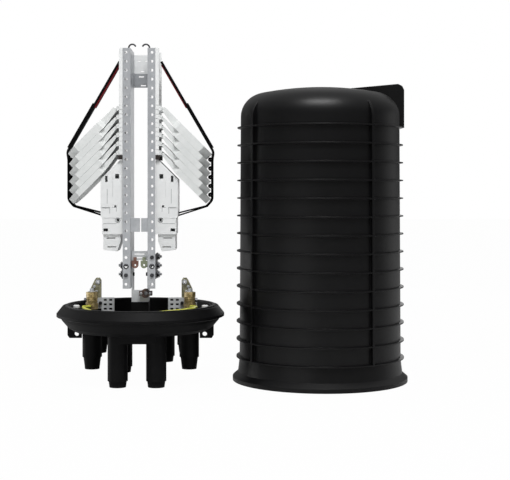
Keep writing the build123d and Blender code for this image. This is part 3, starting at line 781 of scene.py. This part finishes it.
@dataclass
class ClampHardware:
    """Turned collars and screw heads of the brass clamps, and the light nuts and buttons of all clamps."""

    collar_core: float = 8.0
    collar_r: float = 11.4
    collar_height: float = 11.2
    collar_rise: float = 12.4 * MM
    grooves: int = 3
    groove_depth: float = 1.4
    groove_edge: float = 0.7
    head: Outline = ((1.0, -1.0), (2.7, -1.0), (2.7, 0.5), (2.2, 1.1), (1.0, 1.1))
    head_shift: float = 1 * MM
    head_spots_mm: Outline = ((6.5, 11.0), (18.0, 11.4), (28.5, 10.6))
    cap_nut: Outline = ((1.2, 0.1), (6.8, 0.1), (6.8, 1.6), (4.4, 2.2), (4.4, 6.0), (3.4, 7.0), (1.2, 7.0))
    nut: Outline = ((1.5, 0.05), (4.9, 0.05), (4.9, 2.4), (4.3, 3.0), (2.2, 3.0), (2.2, 4.6), (1.5, 4.6))
    nut_spot_mm: tuple[float, float] = (6.0, 8.0)
    button: Outline = ((0.6, 0.05), (2.9, 0.05), (2.9, 1.0), (2.0, 1.8), (0.6, 1.8))
    button_spots_mm: Outline = ((13.5, 17.5), (9.5, 27.0))
    foot_inset: float = 4 * MM

    def collars(self, brass: bpy.types.Material) -> Any:
        """Builds the grooved collars.

        Args:
            brass: Finish of the collars.

        Returns:
            The one piece of both sides.
        """
        step, r, edge = self.collar_height / self.grooves, self.collar_r, self.groove_edge
        root = r - self.groove_depth
        outline = [(self.collar_core, 0), (self.collar_core, self.collar_height)]
        for groove in range(self.grooves, 0, -1):
            top, low = groove * step, (groove - 1) * step
            outline += [(root, top), (r, top - edge), (r, low + edge), (root, low)]
        shape = bmesh.new()
        for side in Side:
            low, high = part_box(f"{side.word}_brass_clamp")
            centre = (low + high) / 2
            centre.z = low.z + self.collar_rise
            lathe(shape, outline, centre, UP)
        return add_fixed("clamp_collars", shape, brass)

    def heads(self, brass: bpy.types.Material) -> Any:
        """Builds the small screw heads down the front of each brass clamp.

        Args:
            brass: Finish of the heads.

        Returns:
            The one piece of both sides.
        """
        shape = bmesh.new()
        for side in Side:
            low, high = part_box(f"{side.word}_brass_clamp")
            middle = (low + high) / 2
            x = middle.x - side.value * self.head_shift
            for height, front in self.head_spots_mm:
                lathe(shape, self.head, Vector((x, middle.y - front * MM, low.z + height * MM)), FRONT)
        return add_fixed("clamp_heads", shape, brass)

    def nuts(self, plated: bpy.types.Material) -> Any:
        """Builds the nuts on the brass clamps and the fasteners in the tall clamps and the foot clamp.

        Args:
            plated: Finish of the fasteners.

        Returns:
            The one piece of all of them.
        """
        shape = bmesh.new()
        fasteners = [(self.nut_spot_mm, self.nut)] + [(spot, self.button) for spot in self.button_spots_mm]
        for side in Side:
            low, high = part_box(f"{side.word}_brass_clamp")
            lathe(shape, self.cap_nut, Vector(((low.x + high.x) / 2, (low.y + high.y) / 2, high.z)), UP)
            low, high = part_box(f"{side.word}_tall_clamp")
            inner = side.inner(f"{side.word}_tall_clamp")
            for (x, z), outline in fasteners:
                spot = Vector((inner + side.value * x * MM, low.y, high.z - z * MM))
                lathe(shape, outline, spot, FRONT)
        low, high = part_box("bottom_clamp")
        for x in (low.x + self.foot_inset, high.x - self.foot_inset):
            lathe(shape, self.button, Vector((x, low.y, (low.z + high.z) / 2)), FRONT)
        return add_fixed("clamp_nuts", shape, plated)

    def build(self, materials: Materials) -> list[Any]:
        """Builds the hardware of all clamps.

        Args:
            materials: Materials by slot.

        Returns:
            The collars, the screw heads and the nuts.
        """
        brass = materials["brass"]
        return [self.collars(brass), self.heads(brass), self.nuts(materials["zinc_steel"])]


@dataclass
class Eyelets:
    """Dark rims of the riveted eyelets, one in each rail between the bolts of its foot."""

    holes_above: float = 24.5
    inset: float = 6.5 * MM
    rim: Outline = ((3.3, 0.05), (5.2, 0.05), (5.2, 0.5), (4.2, 1.2), (3.3, 0.9))

    def build(self, materials: Materials) -> list[Any]:
        """Builds the rims.

        Args:
            materials: Materials by slot.

        Returns:
            The one piece of both rails.
        """
        shape = bmesh.new()
        for side in Side:
            low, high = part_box(f"{side.word}_rail")
            x = side.outer(f"{side.word}_rail") - side.value * self.inset
            lathe(shape, self.rim, Vector((x, low.y, high.z - RAIL_PITCH * self.holes_above)), FRONT)
        return [add_fixed("rail_eyelets", shape, materials["dark_steel"])]


@dataclass
class CarrierSeams:
    """Painted shade of the seams of the lids and latches on the fronts of the two carriers, and of the ring
    round each latch: thin grey strips and rings, proud of the white fronts, that stand for the shade in these
    grooves.
    """

    width: float = 0.9 * MM
    proud: float = 0.15 * MM
    runs_mm: tuple[tuple[float, float, float, float], ...] = (
        (58, 344, 72, 344),
        (58, 332, 58, 344),
        (45, 344, 52, 344),
        (45, 336, 45, 344),
        (45, 312, 70, 312),
        (63, 352, 63, 380),
    )
    ring_spot_mm: tuple[float, float] = (42, 319)
    ring_mm: tuple[float, float, float, float] = (4.0, 5.0, 0.05, 0.9)

    def seam(self, shape: bmesh.types.BMesh, ends: Sequence[Vector]) -> None:
        """Adds one straight strip of painted seam shade, upright or level.

        Args:
            shape: Mesh that takes the seam.
            ends: Its two ends.
        """
        first, last = ends
        reach = last - first
        size = (abs(reach.x) + self.width, 2 * self.proud, abs(reach.z) + self.width)
        cube = bmesh.ops.create_cube(shape, size=1)["verts"]
        bmesh.ops.scale(shape, vec=size, verts=cube)
        bmesh.ops.translate(shape, vec=(first + last) / 2, verts=cube)

    def build(self, materials: Materials) -> list[Any]:
        """Builds the strips and rings of painted seam shade.

        Args:
            materials: Materials by slot.

        Returns:
            The one piece of both carriers.
        """
        shape = bmesh.new()
        for side in Side:
            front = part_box(f"{side.word}_carrier")[0].y
            for x0, z0, x1, z1 in self.runs_mm:
                ends = ((x0, z0), (x1, z1))
                self.seam(shape, [Vector((BASE_X + side.value * x * MM, front, z * MM)) for x, z in ends])
            x, z = self.ring_spot_mm
            spot = Vector((BASE_X + side.value * x * MM, front, z * MM))
            # Ring of painted shade round the latch.
            lathe(shape, ring(*self.ring_mm), spot, FRONT)
        return [add_fixed("seam_shade_strips", shape, materials["painted_seam_shade"])]


@dataclass(frozen=True)
class SoftLight:
    """One soft rectangular light: its place, the point it faces, its width and height and its power."""

    name: str
    place: tuple[float, float, float]
    aim: tuple[float, float, float]
    size: tuple[float, float]
    watts: float

    def build(self) -> None:
        """Hangs the light."""
        data = bpy.data.lights.new(self.name, "AREA")
        data.shape = "RECTANGLE"
        data.size, data.size_y = self.size
        data.energy = self.watts
        lamp = bpy.data.objects.new(self.name, data)
        lamp.location = self.place
        lamp.rotation_euler = (Vector(self.aim) - Vector(self.place)).to_track_quat("-Z", "Y").to_euler()
        bpy.context.scene.collection.objects.link(lamp)


@dataclass
class Studio:
    """White product-photo studio: pale floor, soft lights and the camera."""

    camera_distance: float = 2.4
    camera_height: float = 0.384
    camera_reach: float = 60
    focal_px: float = 1200.0
    photo_px: tuple[int, int] = (510, 480)
    axis_px: tuple[float, float] = (232.0, 187.0)
    horizon: float = 0.06
    zenith: float = 0.8
    floor_size: float = 12
    floor_drop: float = 0.5 * MM
    floor_grey: float = 0.63
    floor_rough: float = 0.9
    floor_glow: float = 0.98
    lights: tuple[SoftLight, ...] = (
        SoftLight("key_left", (-2.4, 1.0, 0.4), (-0.1, 0, 0.4), (1.2, 1.0), 14),
        SoftLight("fill_right", (2.2, 0.9, 0.4), (0.1, 0, 0.4), (1.2, 1.0), 1.6),
        SoftLight("low_front", (-0.6, -1.1, 0.1), (-0.15, 0, 0.4), (1.0, 0.3), 0.9),
        SoftLight("back", (0.5, 2.2, 0.6), (-0.2, 0, 0.45), (0.8, 0.8), 3),
        SoftLight("shoulder", (0.12, -1.3, 2.2), (0.1, 0, 0.45), (1.2, 0.6), 38),
    )

    def ground(self) -> None:
        """Adds a pale floor that the camera sees as white."""
        shape = bmesh.new()
        bmesh.ops.create_grid(shape, x_segments=1, y_segments=1, size=self.floor_size)
        shader = Shader("studio_white")
        grey = self.floor_grey
        shader.dress(Base_Color=(grey, grey, grey, 1), Roughness=self.floor_rough)
        seen = shader.add("ShaderNodeLightPath").outputs["Is Camera Ray"]
        glow = shader.add("ShaderNodeEmission", {"Color": (1, 1, 1, 1), "Strength": 1.0}).outputs[0]
        share = shader.add("ShaderNodeMath", {0: seen, 1: self.floor_glow}, operation="MULTIPLY").outputs[0]
        blend = shader.add("ShaderNodeMixShader", {0: share, 1: shader.surface.outputs[0], 2: glow})
        shader.feed(shader.tree.nodes["Material Output"].inputs[0], blend.outputs[0])
        floor = add_mesh("studio_floor", shape, shader.material)
        floor.location.z = -self.floor_drop

    def surround(self) -> None:
        """Makes the world white to the camera, and to the light a soft box above a dim room."""
        world = bpy.data.worlds.new("studio")
        bpy.context.scene.world = world
        world.use_nodes = True
        nodes = Nodes(world.node_tree)
        direction = nodes.add("ShaderNodeTexCoord").outputs["Generated"]
        height = nodes.add("ShaderNodeSeparateXYZ", {0: direction}).outputs[2]
        inputs = {"Value": height, "To Min": self.horizon, "To Max": self.zenith}
        room = nodes.add("ShaderNodeMapRange", inputs).outputs[0]
        seen = nodes.add("ShaderNodeLightPath").outputs["Is Camera Ray"]
        strength = nodes.add("ShaderNodeMapRange", {"Value": seen, "To Min": room, "To Max": 1.0}).outputs[0]
        backdrop = nodes.tree.nodes["Background"]
        nodes.feed(backdrop.inputs["Color"], (1, 1, 1, 1))
        nodes.feed(backdrop.inputs["Strength"], strength)

    def camera(self) -> None:
        """Places the level camera, with a lens shift that frames the photo."""
        data = bpy.data.cameras.new("camera")
        width, height = self.photo_px
        data.lens = self.focal_px / width * data.sensor_width
        data.shift_x = (width / 2 - self.axis_px[0]) / width
        data.shift_y = -(height / 2 - self.axis_px[1]) / width
        data.clip_end = self.camera_reach
        camera = bpy.data.objects.new("camera", data)
        camera.location = (0, -self.camera_distance, self.camera_height)
        camera.rotation_euler = (math.radians(90), 0, 0)
        bpy.context.scene.collection.objects.link(camera)
        bpy.context.scene.camera = camera

    def build(self) -> None:
        """Builds the whole studio."""
        self.ground()
        self.surround()
        for light in self.lights:
            light.build()
        self.camera()
        bpy.context.scene.view_settings.view_transform = "Standard"


def dress(materials: Materials) -> None:
    """Gives every CAD node its own finish, or the material of its slot in the record.

    Args:
        materials: Materials by slot.
    """
    own = {finish: finish.build() for finish in dict.fromkeys(OWN_FINISHES.values())}
    for row in frame["record"]["subparts"]:
        node = row["node"]
        worn = own[OWN_FINISHES[node]] if node in OWN_FINISHES else materials[row["material_slot"]]
        mesh = frame["nodes"][node].data
        mesh.materials.clear()
        mesh.materials.append(worn)
        log.info("%s wears %s", node, worn.name)


def main() -> None:
    """Builds every piece in order and reports it."""
    logging.basicConfig(level=logging.INFO, format="%(name)s: %(message)s")
    bpy.context.scene.render.film_transparent = False
    materials = {slot: finish.build() for slot, finish in (FINISHES | SCENE_FINISHES).items()}
    dress(materials)
    straps = [Strap(side) for side in Side]
    for assembly in (*straps, SpringHooks(), BoltHardware(), ClampHardware(), Eyelets(), CarrierSeams()):
        for piece in assembly.build(materials):
            log.info("%s is built", piece.name)
    Studio().build()


if __name__ == "__main__":
    main()
